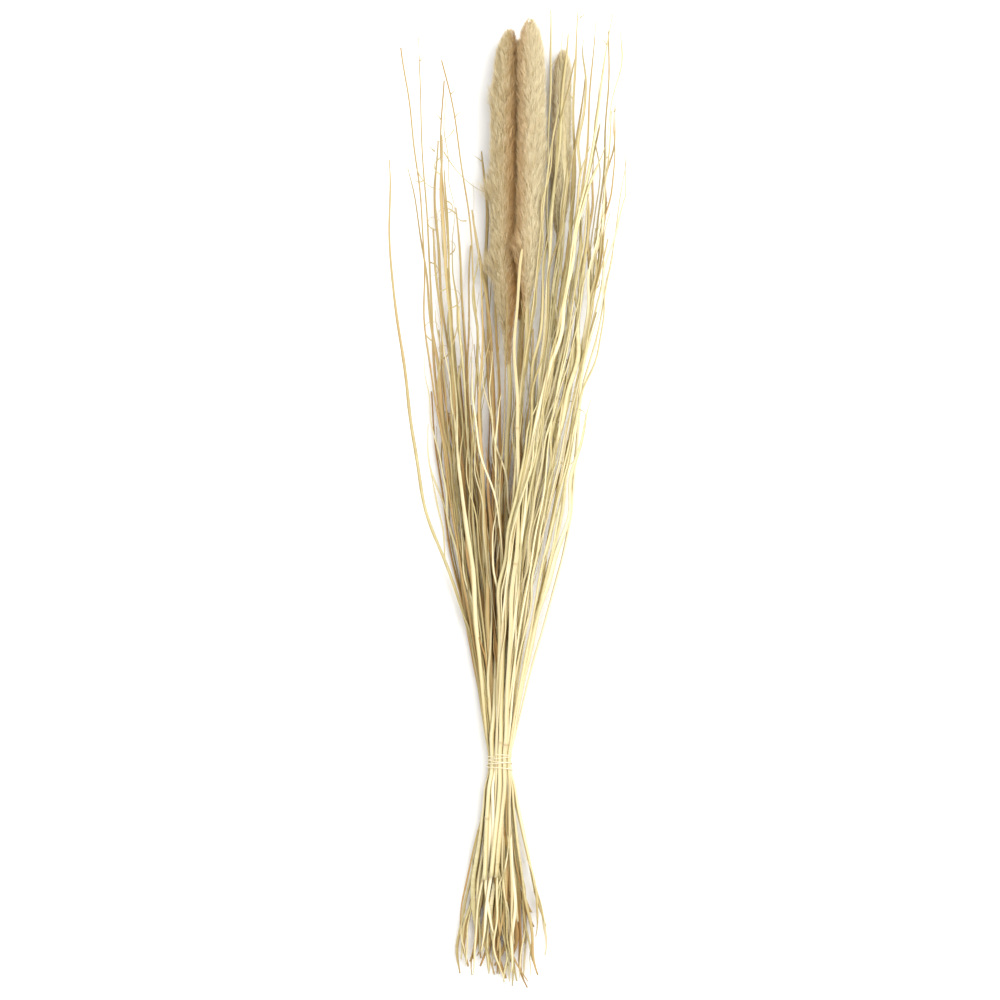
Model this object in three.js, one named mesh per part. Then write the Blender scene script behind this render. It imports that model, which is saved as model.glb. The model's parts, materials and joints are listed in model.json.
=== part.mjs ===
// A tied bundle of dried foxtail grass, lying on its side on a flat surface.
// Units are millimetres and +Z is up. +Y runs from the cut ends to the tips, and the binding is at y = 0 until
// the whole bundle is moved to its own frame at the end. Every strand is one solid: a stalk, stem or blade that
// grew in one piece. The strands are laid out by eye in plan, then pushed apart where they would overlap.
import * as THREE from "three";

// Driving dimensions
const WAIST_RADIUS = 11.9; // of the strands packed inside the binding
const BINDING_RADIUS = 0.6; // of the cord wound round the waist
const BINDING_TURNS = 4;
const BINDING_PITCH = 3.4; // along the bundle, from one turn to the next
const CLEARANCE = 0.3; // least gap between two solids
const WAIST_HEIGHT = WAIST_RADIUS + CLEARANCE + 2 * BINDING_RADIUS; // of the waist's centre above the surface
const STEM_RADIUS = 1.3;
const STRAW_RADIUS = 2.1; // of the one thick straw that is cut short with the plumes' stalks
const FINE_RADIUS = 1;
const STALK_RADIUS = 2.2; // of a plume's stalk
const TIP_SHARE = 0.6; // of a strand's radius that is left at its tip
const STRAND_SIDES = 5;
const HEAD_SIDES = 10;
const DEPTH = [[-225, 30], [-60, 24], [0, 23], [60, 26], [200, 44], [400, 58], [760, 58]]; // bundle's height at y

// Every strand has its rings at these stations along y, closer together where it bends most.
const STATIONS = [
  -235, -190, -145, -105, -72, -44, -24, -7, 7, 24, 46, 74, 106, 144, 190,
  ...Array.from({ length: 9 }, (_, i) => 253 + 63 * i),
];
const WAIST_REACH = 7; // the strands run packed this far each side of the binding

const COLOURS = { straw: 0xdcc894, blade: 0xe6d8a8, stalk: 0xd9c79a, plume: 0xd8c196, binding: 0xefe6cf };
const finish = (name, roughness) =>
  new THREE.MeshStandardMaterial({ color: COLOURS[name], roughness, metalness: 0 });

// The plumes: the head in plan from base to tip, its widest radius, the share of its length over which it swells,
// and how high it lies (0 at the surface, 1 on top). The foot is the stalk's cut end, and lies as high as footLayer.
const FOXTAILS = [
  { name: "foxtail_front", head: [[26, 448], [32, 600], [30, 740]], radius: 14.2, swell: 0.2, layer: 0.78,
    foot: [-9, -114], footLayer: 1 },
  { name: "foxtail_left", head: [[10, 395], [4, 570], [11, 731]], radius: 13.6, swell: 0.28, layer: 0.42,
    foot: [-14, -117], footLayer: 0.95 },
  { name: "foxtail_back", head: [[20, 428], [16, 580], [17, 722]], radius: 10.5, swell: 0.25, layer: 0,
    foot: [8, -190] },
  { name: "foxtail_small", head: [[64, 512], [61, 600], [63, 711]], radius: 9.2, swell: 0.25, layer: 0.3,
    foot: [14, -160] },
];
const STALK_ROUTES = {
  foxtail_front: [[23, 380], [18, 290], [9, 200], [2, 100]],
  foxtail_left: [[10, 350], [9, 270], [4, 180], [-3, 95]],
  foxtail_back: [[22, 380], [16, 280], [10, 190], [4, 90]],
  foxtail_small: [[54, 470], [47, 412], [41, 366], [30, 320], [17, 250], [8, 130]],
};

// Strands that stand apart from the rest, each by its plan route [x, y] from the tip down to the waist, and its foot.
const LONE = [
  { name: "left_outer_stem", radius: FINE_RADIUS, layer: 0.3, foot: [-48, -212],
    route: [[-114, 602], [-115, 560], [-107, 462], [-95, 395], [-94, 328], [-79, 255], [-53, 190], [-28, 128]] },
  { name: "left_tall_stem", radius: FINE_RADIUS, layer: 0.55, foot: [-44, -163],
    route: [[-97, 713], [-88, 640], [-76, 542], [-75, 470], [-76, 430], [-67, 357], [-50, 262], [-37, 185]] },
  { name: "left_tall_blade", radius: FINE_RADIUS, layer: 0.2, foot: [-35, -205],
    route: [[-82, 725], [-77, 640], [-74, 530], [-70, 440], [-60, 340], [-45, 230]] },
  { name: "left_swaying_stem", radius: FINE_RADIUS, layer: 0.6, foot: [-18, -194],
    route: [[-56, 700], [-44, 640], [-36, 584], [-23, 504], [-15, 450], [-20, 405], [-31, 350], [-33, 300],
      [-24, 200]] },
  { name: "left_thin_stem", radius: FINE_RADIUS, layer: 0.35, foot: [-28, -214],
    route: [[-58, 681], [-62, 628], [-55, 540], [-49, 440], [-44, 350], [-32, 230]] },
  { name: "left_frayed_blade", radius: STEM_RADIUS, layer: 0.75, foot: [-34, -167],
    route: [[-60, 625], [-58, 570], [-54, 500], [-48, 400], [-42, 310], [-30, 200]] },
  { name: "left_bent_stem", radius: FINE_RADIUS, layer: 0.1, foot: [-14, -179],
    route: [[-67, 622], [-70, 580], [-62, 510], [-55, 430], [-48, 330], [-30, 190]] },
  { name: "left_side_stem", radius: FINE_RADIUS, layer: 0.45, foot: [-25, -200],
    route: [[-87, 594], [-75, 560], [-72, 500], [-66, 420], [-57, 320], [-36, 190]] },
  { name: "left_cut_stem", radius: STEM_RADIUS, layer: 0.15, foot: [-8, -190],
    route: [[-16, 611], [-13, 570], [-15, 520], [-14, 450], [-8, 350], [-4, 220]] },
  { name: "left_short_stem", radius: STEM_RADIUS, layer: 0.3, foot: [-5, -217],
    route: [[-23, 552], [-16, 527], [-10, 480], [-6, 400], [-5, 300], [-8, 200]] },
  { name: "front_straw", radius: STRAW_RADIUS, layer: 1, foot: [-4, -115], footLayer: 1,
    route: [[17, 511], [11, 475], [13, 424], [17, 380], [20, 320], [16, 220]] },
  { name: "middle_tall_stem", radius: STEM_RADIUS, layer: 0.6, foot: [7, -224],
    route: [[50, 750], [50, 686], [47, 600], [48, 530], [52, 480], [47, 412], [40, 350], [25, 240]] },
  { name: "crossing_blade", radius: FINE_RADIUS, layer: 0.85, foot: [17, -210],
    route: [[75, 700], [68, 659], [57, 632], [50, 600], [47, 560], [49, 500], [46, 420], [38, 340], [22, 230]] },
  { name: "right_broad_blade", radius: STEM_RADIUS, layer: 0.5, foot: [30, -226],
    route: [[78, 751], [75, 690], [73, 640], [71, 590], [75, 540], [69, 480], [60, 400], [44, 300], [26, 190]] },
  { name: "right_forked_stem", radius: STEM_RADIUS, layer: 0.65, foot: [34, -213],
    route: [[94, 738], [88, 674], [85, 600], [80, 571], [83, 520], [85, 470], [80, 430], [70, 370], [58, 320],
      [30, 190]] },
  { name: "right_crossing_stem", radius: FINE_RADIUS, layer: 1.0, foot: [-11, -189],
    route: [[113, 745], [111, 712], [104, 689], [99, 650], [89, 603], [80, 555], [72, 500], [60, 440], [49, 385],
      [40, 335], [27, 300], [15, 262], [5, 205]] },
  { name: "right_tall_stem", radius: STEM_RADIUS, layer: 0.4, foot: [43, -165],
    route: [[109, 730], [107, 680], [106, 640], [103, 560], [95, 480], [84, 400], [70, 320], [50, 230]] },
  { name: "right_outer_stem", radius: FINE_RADIUS, layer: 0.3, foot: [51, -194],
    route: [[127, 601], [116, 542], [107, 462], [85, 401], [76, 345], [76, 275], [66, 194], [44, 136]] },
  { name: "right_bowed_stem", radius: FINE_RADIUS, layer: 0.5, foot: [45, -175],
    route: [[113, 650], [108, 600], [102, 542], [93, 460], [80, 390], [69, 310], [64, 255], [50, 190], [35, 148]] },
];

// Strands that fan out together: how many, and the ranges that their tips, feet, sideways bow and height spread over.
const FANS = [
  { name: "left_stem", count: 11, tipX: [-72, -24], tipY: [340, 600], bow: [-14, -2], footX: [-8, 32],
    layer: [0, 0.55] },
  { name: "middle_stem", count: 9, tipX: [-32, 46], tipY: [330, 560], bow: [-8, 10], footX: [-24, 22],
    layer: [0.2, 0.8] },
  { name: "right_stem", count: 11, tipX: [50, 108], tipY: [430, 735], bow: [-12, 8], footX: [-38, 12],
    layer: [0.4, 1] },
  { name: "under_stem", count: 4, tipX: [-58, 74], tipY: [380, 520], bow: [-8, 8], footX: [-30, 30],
    layer: [0, 0.05] },
];
const FOOT_Y = [-224, -140];
const UNDER_STRAWS = 0.7; // how high the other feet reach, so that the short straws lie on top of them

// A number from 0 to 1 that spreads evenly over i, for the strand's channel-th property.
const spread = (i, channel) => (0.5 + (i + 1) * [0.618034, 0.754878, 0.569840, 0.819173, 0.671044][channel]) % 1;
const within = ([low, high], share) => low + (high - low) * share;

// A smooth curve through points [y, value] given in rising y, as a function of y; straight beyond its ends.
function curveThrough(points) {
  const slope = (i) => {
    const [a, b] = [points[Math.max(0, i - 1)], points[Math.min(points.length - 1, i + 1)]];
    return (b[1] - a[1]) / (b[0] - a[0]);
  };
  return (y) => {
    const last = points.length - 1;
    if (y <= points[0][0]) return points[0][1] + slope(0) * (y - points[0][0]);
    if (y >= points[last][0]) return points[last][1] + slope(last) * (y - points[last][0]);
    const i = points.findIndex((p) => p[0] > y) - 1;
    const [[y0, v0], [y1, v1]] = [points[i], points[i + 1]];
    const [h, t] = [y1 - y0, (y - y0) / (y1 - y0)];
    return (
      v0 * (1 + 2 * t) * (1 - t) ** 2 + slope(i) * h * t * (1 - t) ** 2 +
      v1 * t * t * (3 - 2 * t) + slope(i + 1) * h * t * t * (t - 1)
    );
  };
}

const depthAt = curveThrough(DEPTH);
const clamp = (value, low, high) => Math.min(high, Math.max(low, value));
const smooth = (t) => clamp(t, 0, 1) ** 2 * (3 - 2 * clamp(t, 0, 1));

// A strand from its plan route (tip first), foot, layer and radius, which thins towards the tip.
function strand(spec) {
  const { name, route, foot, layer, radius, radiusAt, sides = STRAND_SIDES, look = "straw" } = spec;
  const footLayer = spec.footLayer ?? UNDER_STRAWS * layer;
  const tip = route[0];
  const thinning = (y) => radius * (1 - (1 - TIP_SHARE) * smooth((y - 0.2 * tip[1]) / (0.8 * tip[1])));
  const rising = [...route].reverse().map(([x, y]) => [y, x]);
  const aboveX = curveThrough(rising)(120);
  const side = clamp(0.62 * (aboveX / 34) + 0.38 * (foot[0] / 44), -1, 1);
  const waistLayer = spec.footLayer ?? layer;
  return { name, foot, layer, footLayer, waistLayer, side, radiusAt: radiusAt || thinning, sides, look, rising, tip };
}

function fanStrands({ name, count, tipX, tipY, bow, footX, layer }) {
  return Array.from({ length: count }, (_, i) => {
    const tip = [within(tipX, (i + 0.5) / count), within(tipY, spread(i, 0))];
    const sway = within(bow, spread(i, 1));
    const route = [1, 0.8, 0.6, 0.4, 0.22].map((t) => [tip[0] * t + sway * Math.sin(Math.PI * t), tip[1] * t]);
    return strand({
      name: `${name}_${String(i + 1).padStart(2, "0")}`,
      route,
      foot: [within(footX, (i + spread(i, 2)) / count), within(FOOT_Y, spread(i, 3))],
      layer: within(layer, spread(i, 4)),
      radius: i % 3 ? FINE_RADIUS : STEM_RADIUS,
    });
  });
}

// A plume's radius along y: its stalk, then a head that swells over its lower third and rounds off at the tip.
function plumeRadius(baseY, tipY, widest, share) {
  return (y) => {
    const t = (y - baseY) / (tipY - baseY);
    const swell = smooth(0.92 * t / share + 0.08);
    const round = Math.sqrt(Math.max(0.03, 1 - (Math.max(0, t - 0.8) / 0.2) ** 2));
    return t < 0 ? STALK_RADIUS : Math.max(STALK_RADIUS * (1 - 0.6 * smooth(t)), widest * swell * round);
  };
}

function foxtail({ name, head, radius, swell, layer, foot, footLayer }) {
  const [base, , tip] = head;
  return {
    ...strand({ name, route: [...head].reverse().concat(STALK_ROUTES[name]), foot, layer, footLayer,
      sides: HEAD_SIDES, radiusAt: plumeRadius(base[1], tip[1], radius, swell), look: "plume" }),
    rings: [0, 0.3 * swell, 0.6 * swell, swell, 0.88, 0.95].map((t) => within([base[1], tip[1]], t)),
  };
}

// Packs the strands inside the binding as circles in a disc, each as near as it can be to its own side and layer.
function packWaist(strands) {
  const slots = strands.map((s) => ({ x: s.side, z: 2 * s.waistLayer - 1, r: s.radiusAt(0) }));
  slots.forEach((s) => {
    const stretch = (0.9 * WAIST_RADIUS * Math.max(Math.abs(s.x), Math.abs(s.z))) / (Math.hypot(s.x, s.z) || 1);
    s.x *= stretch;
    s.z *= stretch;
  });
  const goals = slots.map((s) => ({ ...s }));
  for (let pass = 0; pass < 3600; pass++) {
    const [pull, squeeze] = pass < 2000 ? [0.01, 0] : pass < 3300 ? [0.002, 0.004] : [0, 0];
    slots.forEach((s, i) => {
      s.x += (goals[i].x - s.x) * pull - s.x * squeeze;
      s.z += (goals[i].z - s.z) * pull - s.z * squeeze;
    });
    for (let i = 0; i < slots.length; i++) {
      for (let j = i + 1; j < slots.length; j++) {
        const [a, b] = [slots[i], slots[j]];
        const [dx, dz] = [b.x - a.x || 1e-3, b.z - a.z || 1e-3];
        const apart = Math.hypot(dx, dz);
        const push = Math.max(0, a.r + b.r + CLEARANCE - apart) / 2 / apart;
        a.x -= dx * push;
        a.z -= dz * push;
        b.x += dx * push;
        b.z += dz * push;
      }
    }
    slots.forEach((s) => {
      const out = Math.max(1, Math.hypot(s.x, s.z) / (WAIST_RADIUS - s.r));
      s.x /= out;
      s.z /= out;
    });
  }
  return slots;
}

// A strand's centre line as [x, z] at each station, before the strands are kept apart.
function layOut(s, slot) {
  const [inner, outer] = [-WAIST_REACH, WAIST_REACH];
  const plan = curveThrough([[s.foot[1], s.foot[0]], [inner, slot.x], [outer, slot.x], ...s.rising]);
  return STATIONS.map((y) => {
    const r = s.radiusAt(y);
    const share = smooth((Math.abs(y) - WAIST_REACH) / (y > 0 ? 170 : 110));
    const lying = r + (y > 0 ? s.layer : s.footLayer) * Math.max(0, depthAt(y) - 2 * r);
    return [Math.abs(y) <= WAIST_REACH ? slot.x : plan(y), within([WAIST_HEIGHT + slot.z, lying], share)];
  });
}

// Pushes strands i and j apart where they come too near between stations k and k + 1.
function separate(lines, strands, i, j, k) {
  const [a, b] = [lines[i], lines[j]];
  const [dx0, dz0] = [b[k][0] - a[k][0], b[k][1] - a[k][1]];
  const [dx1, dz1] = [b[k + 1][0] - a[k + 1][0], b[k + 1][1] - a[k + 1][1]];
  if (Math.min(Math.hypot(dx0, dz0), Math.hypot(dx1, dz1)) > 90) return 0;
  const low = Math.max(strands[i].foot[1], strands[j].foot[1]);
  const high = Math.min(strands[i].tip[1], strands[j].tip[1]);
  const [from, to] = [low, high].map((y) => clamp((y - STATIONS[k]) / (STATIONS[k + 1] - STATIONS[k]), 0, 1));
  if (from >= to) return 0;
  const [ex, ez] = [dx1 - dx0, dz1 - dz0];
  const nearest = clamp(-(dx0 * ex + dz0 * ez) / (ex * ex + ez * ez || 1), from, to);
  const plume = strands[i].look === "plume" || strands[j].look === "plume";
  let worst = 0;
  for (const t of plume ? [nearest, 0, 0.2, 0.4, 0.6, 0.8] : [nearest]) {
    const y = within([STATIONS[k], STATIONS[k + 1]], t);
    if (t < from || t > to) continue;
    const [dx, dz] = [dx0 + ex * t || 1e-3, dz0 + ez * t || 1e-3];
    const apart = Math.hypot(dx, dz);
    const width = (line, s) => {
      const lean = ((line[k + 1][0] - line[k][0]) * dx + (line[k + 1][1] - line[k][1]) * dz) / apart;
      return s.radiusAt(y) * Math.hypot(1, lean / (STATIONS[k + 1] - STATIONS[k]));
    };
    const short = width(a, strands[i]) + width(b, strands[j]) + CLEARANCE * 1.4 - apart;
    if (short <= 0) continue;
    worst = Math.max(worst, short);
    const weight = short / apart / 2 / ((1 - t) ** 2 + t ** 2);
    const heavy = strands[i].radiusAt(y) / (strands[i].radiusAt(y) + strands[j].radiusAt(y));
    for (const [station, part] of [[k, 1 - t], [k + 1, t]]) {
      if (Math.abs(STATIONS[station]) <= WAIST_REACH) continue;
      const push = weight * part * 2;
      a[station][0] -= dx * push * (1 - heavy);
      a[station][1] -= dz * push * (1 - heavy);
      b[station][0] += dx * push * heavy;
      b[station][1] += dz * push * heavy;
    }
  }
  return worst;
}

// Settles the strands: each is drawn to its own layout and kept smooth, clear of the others and above the surface.
function settle(strands) {
  const slots = packWaist(strands);
  const goals = strands.map((s, i) => layOut(s, slots[i]));
  const lines = goals.map((line) => line.map((p) => [...p]));
  const free = STATIONS.map((y, k) => k).filter((k) => Math.abs(STATIONS[k]) > WAIST_REACH);
  let worst = 0;
  for (let pass = 0; pass < 700; pass++) {
    const ease = Math.max(0, 1 - pass / 450);
    lines.forEach((line, i) => free.forEach((k) => {
      const [below, above] = [line[Math.max(0, k - 1)], line[Math.min(line.length - 1, k + 1)]];
      const [y0, y1] = [STATIONS[Math.max(0, k - 1)], STATIONS[Math.min(line.length - 1, k + 1)]];
      const t = (STATIONS[k] - y0) / (y1 - y0);
      for (const c of [0, 1]) {
        const straight = k > 0 && k < line.length - 1 ? within([below[c], above[c]], t) : line[k][c];
        line[k][c] += 0.12 * ease * (straight - line[k][c]) + 0.06 * ease * (goals[i][k][c] - line[k][c]);
      }
    }));
    worst = 0;
    for (let k = 0; k < STATIONS.length - 1; k++) {
      for (let i = 0; i < lines.length; i++) {
        for (let j = i + 1; j < lines.length; j++) worst = Math.max(worst, separate(lines, strands, i, j, k));
      }
    }
    lines.forEach((line, i) => free.forEach((k) => {
      line[k][1] = Math.max(line[k][1], strands[i].radiusAt(STATIONS[k]) + 0.02);
    }));
    if (ease === 0 && worst < 0.08) break;
  }
  if (worst > CLEARANCE) throw new Error(`strands still come ${worst.toFixed(2)} mm too near each other`);
  return lines;
}

// A path through points at even steps of its parameter, straight between them.
class Polyline extends THREE.Curve {
  constructor(points) {
    super();
    this.points = points;
  }
  getPoint(t, target = new THREE.Vector3()) {
    const at = clamp(t, 0, 1) * (this.points.length - 1);
    const i = Math.min(Math.floor(at), this.points.length - 2);
    return target.copy(this.points[i]).lerp(this.points[i + 1], at - i);
  }
  getUtoTmapping(u) {
    return u;
  }
}

// A solid of round section along points, with its own radius at each of them.
function tube(points, radii, sides) {
  const section = Array.from({ length: sides }, (_, i) => {
    const angle = (2 * Math.PI * i) / sides;
    return new THREE.Vector2(Math.cos(angle), Math.sin(angle));
  });
  const geometry = new THREE.ExtrudeGeometry(new THREE.Shape(section), {
    steps: points.length - 1, bevelEnabled: false, extrudePath: new Polyline(points),
  });
  const position = geometry.attributes.position;
  const vertex = new THREE.Vector3();
  for (let n = 0; n < position.count; n++) {
    vertex.fromBufferAttribute(position, n);
    let ring = 0;
    points.forEach((p, i) => {
      if (p.distanceToSquared(vertex) < points[ring].distanceToSquared(vertex)) ring = i;
    });
    vertex.sub(points[ring]).multiplyScalar(radii[ring]).add(points[ring]);
    position.setXYZ(n, vertex.x, vertex.y, vertex.z);
  }
  return geometry;
}

const bundle = new THREE.Group();
function add(name, geometry, look, roughness = 0.7) {
  const mesh = new THREE.Mesh(geometry, finish(look, roughness));
  mesh.name = name;
  bundle.add(mesh);
}

const strands = [...FOXTAILS.map(foxtail), ...LONE.map(strand), ...FANS.flatMap(fanStrands)];
const lines = settle(strands);
strands.forEach((s, i) => {
  const [low, high] = [s.foot[1], s.tip[1]];
  const between = [...STATIONS, ...(s.rings || [])].filter((y) => y > low + 2.5 && y < high - 2.5);
  const rings = [low, ...between.sort((a, b) => a - b), high];
  const points = rings.map((y) => {
    const k = clamp(STATIONS.findIndex((v) => v > y) - 1, 0, STATIONS.length - 2);
    const t = (y - STATIONS[k]) / (STATIONS[k + 1] - STATIONS[k]);
    return new THREE.Vector3(within([lines[i][k][0], lines[i][k + 1][0]], t), y,
      within([lines[i][k][1], lines[i][k + 1][1]], t));
  });
  const radii = rings.map((y) => s.radiusAt(y));
  if (s.look !== "plume") radii[radii.length - 1] *= 0.5;
  add(s.name, tube(points, radii, s.sides), s.look);
});

// The binding: a cord wound round the waist, its first and last turns lying square across the bundle.
const coil = BINDING_TURNS * 22;
const reach = WAIST_RADIUS + CLEARANCE + BINDING_RADIUS;
const cord = Array.from({ length: coil + 1 }, (_, i) => {
  const angle = (2 * Math.PI * i) / 22 + Math.PI * 0.6;
  const y = (i / coil - 0.5) * BINDING_PITCH * (BINDING_TURNS - 1);
  return new THREE.Vector3(reach * Math.cos(angle), y, WAIST_HEIGHT + reach * Math.sin(angle));
});
add("binding", tube(cord, cord.map(() => BINDING_RADIUS), 6), "binding", 0.8);

const box = new THREE.Box3().setFromObject(bundle);
bundle.children.forEach((mesh) => mesh.geometry.translate(
  -(box.min.x + box.max.x) / 2, -(box.min.y + box.max.y) / 2, -box.min.z));

export default bundle;
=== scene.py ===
"""The looks of a tied bundle of dried foxtail grass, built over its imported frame.

Lengths are metres. The bundle lies on its side: +Y runs from the cut ends to the tips of the plumes,
and +Z is up.
"""

import json
import math

import bpy
import numpy as np
from bpy.props import FloatProperty, FloatVectorProperty, IntProperty, PointerProperty
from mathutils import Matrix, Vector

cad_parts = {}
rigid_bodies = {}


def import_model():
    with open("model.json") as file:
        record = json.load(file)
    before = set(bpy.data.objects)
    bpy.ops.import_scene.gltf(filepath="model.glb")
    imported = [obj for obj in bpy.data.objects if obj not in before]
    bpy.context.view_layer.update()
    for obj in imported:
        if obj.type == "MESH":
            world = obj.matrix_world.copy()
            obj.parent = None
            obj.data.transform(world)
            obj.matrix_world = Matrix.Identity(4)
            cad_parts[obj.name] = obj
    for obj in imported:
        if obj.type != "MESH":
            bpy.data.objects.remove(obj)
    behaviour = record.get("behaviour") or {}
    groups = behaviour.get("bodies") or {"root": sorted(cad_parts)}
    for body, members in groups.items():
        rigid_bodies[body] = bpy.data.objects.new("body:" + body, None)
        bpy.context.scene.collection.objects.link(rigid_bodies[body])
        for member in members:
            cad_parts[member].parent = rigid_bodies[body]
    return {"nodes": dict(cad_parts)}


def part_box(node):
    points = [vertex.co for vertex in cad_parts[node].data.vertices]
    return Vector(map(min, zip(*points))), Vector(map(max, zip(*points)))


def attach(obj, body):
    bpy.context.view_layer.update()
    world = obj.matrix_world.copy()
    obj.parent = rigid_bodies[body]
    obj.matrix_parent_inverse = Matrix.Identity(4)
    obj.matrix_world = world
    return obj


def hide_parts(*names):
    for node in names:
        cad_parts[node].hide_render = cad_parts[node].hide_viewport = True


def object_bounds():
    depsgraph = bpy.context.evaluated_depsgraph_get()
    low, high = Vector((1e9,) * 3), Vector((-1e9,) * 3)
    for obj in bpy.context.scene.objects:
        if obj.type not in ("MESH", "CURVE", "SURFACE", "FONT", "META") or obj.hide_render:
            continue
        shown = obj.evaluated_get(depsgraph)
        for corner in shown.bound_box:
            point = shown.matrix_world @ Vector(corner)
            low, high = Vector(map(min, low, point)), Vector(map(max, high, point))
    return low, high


bl_info = {
    "name": "Dried foxtail bundle",
    "version": (1, 0, 0),
    "blender": (4, 5, 0),
    "location": "View3D > Sidebar > Foxtail",
    "description": "Straw stems, hairy plumes and a cord binding, made over a packed bundle of dried grass",
    "category": "Object",
}

for leftover in list(bpy.data.objects):
    bpy.data.objects.remove(leftover)
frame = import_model()
CAD_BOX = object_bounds()

MM = 0.001
GOLDEN_ANGLE = math.pi * (3 - math.sqrt(5))
STRAND_SIDES = 5  # of a CAD stem's section
PLUME_SIDES = 10  # of a CAD plume's section
FOXTAILS = [name for name in frame["nodes"] if name.startswith("foxtail_")]
STEMS = [name for name in frame["nodes"] if name != "binding" and name not in FOXTAILS]
LOW, HIGH = (np.array(corner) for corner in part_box("binding"))
WAIST = (LOW + HIGH) / 2  # the middle of the binding
BUNDLE_HEIGHT = ((-225, -60, 0, 60, 200, 400), (30, 24, 26, 28, 44, 58))  # mm along from the binding, mm up
# DENSE also sets how much painted shade strands lying deep there get.
DENSE = ((-235, -150, -60, 30, 90, 330, 460), (0.7, 0.8, 0, 0, 1, 1, 0))  # mm along, share hidden by others
FAN_REACH = 60 * MM  # from the middle of the fan to its usual side
THICK_STRAW = 1.7 * MM  # the radius over which a stem is a hard round straw
DOME = 32 * MM  # the length of a plume's rounded tip
FLOOR_GAP = 0.4 * MM  # hairs stay this far above the surface


# Geometry


def rings_of(node, sides):
    """The centre and the radius of each ring of a CAD strand, from its foot to its tip."""
    mesh = frame["nodes"][node].data
    points = np.empty(len(mesh.vertices) * 3)
    mesh.vertices.foreach_get("co", points)
    points = np.unique(np.round(points.reshape(-1, 3), 6), axis=0)
    if len(points) % sides:
        raise RuntimeError(f"{node} has {len(points)} corners, which don't make whole rings of {sides}")
    rings = points[points[:, 1].argsort()].reshape(-1, sides, 3)
    centres = rings.mean(axis=1)
    radii = np.linalg.norm(rings - centres[:, None], axis=2).mean(axis=1)
    return centres, radii


def distances(points):
    """How far along a line of points each of them is."""
    return np.concatenate([[0], np.cumsum(np.linalg.norm(np.diff(points, axis=0), axis=1))])


def eased(points, at):
    """The smooth curve through points, at the given distances along them."""
    s = distances(points)
    slope = np.gradient(points, s, axis=0)
    i = np.clip(np.searchsorted(s, at, side="right") - 1, 0, len(s) - 2)
    h = (s[i + 1] - s[i])[:, None]
    t = ((at - s[i]) / (s[i + 1] - s[i]))[:, None]
    return (
        points[i] * (1 + 2 * t) * (1 - t) ** 2
        + slope[i] * h * t * (1 - t) ** 2
        + points[i + 1] * t * t * (3 - 2 * t)
        + slope[i + 1] * h * t * t * (t - 1)
    )


def smooth(t):
    t = np.clip(t, 0, 1)
    return t * t * (3 - 2 * t)


def unit(v):
    return v / np.maximum(np.linalg.norm(v, axis=-1, keepdims=True), 1e-12)


def wander(rng, s, length, waves=3):
    """A smooth random wave of about unit height along s, whose longest wave is length."""
    total = np.zeros_like(s)
    for i in range(waves):
        turns = s * (1 + 0.8 * i) / length * rng.uniform(0.8, 1.25)
        total += np.sin(turns * 2 * math.pi + rng.uniform(0, 6.3)) / (i + 1)
    return total / 1.5


def frames_along(path):
    """Two directions across the path at each point, which turn as little as they can."""
    tangent = unit(np.gradient(path, axis=0))
    side = np.empty_like(path)
    side[0] = unit(np.cross(tangent[0], (0.02, 0.01, 1.0)))
    for i in range(1, len(path)):
        across = side[i - 1] - tangent[i] * np.dot(side[i - 1], tangent[i])
        side[i] = unit(across)
    return side, np.cross(side, tangent)


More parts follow.
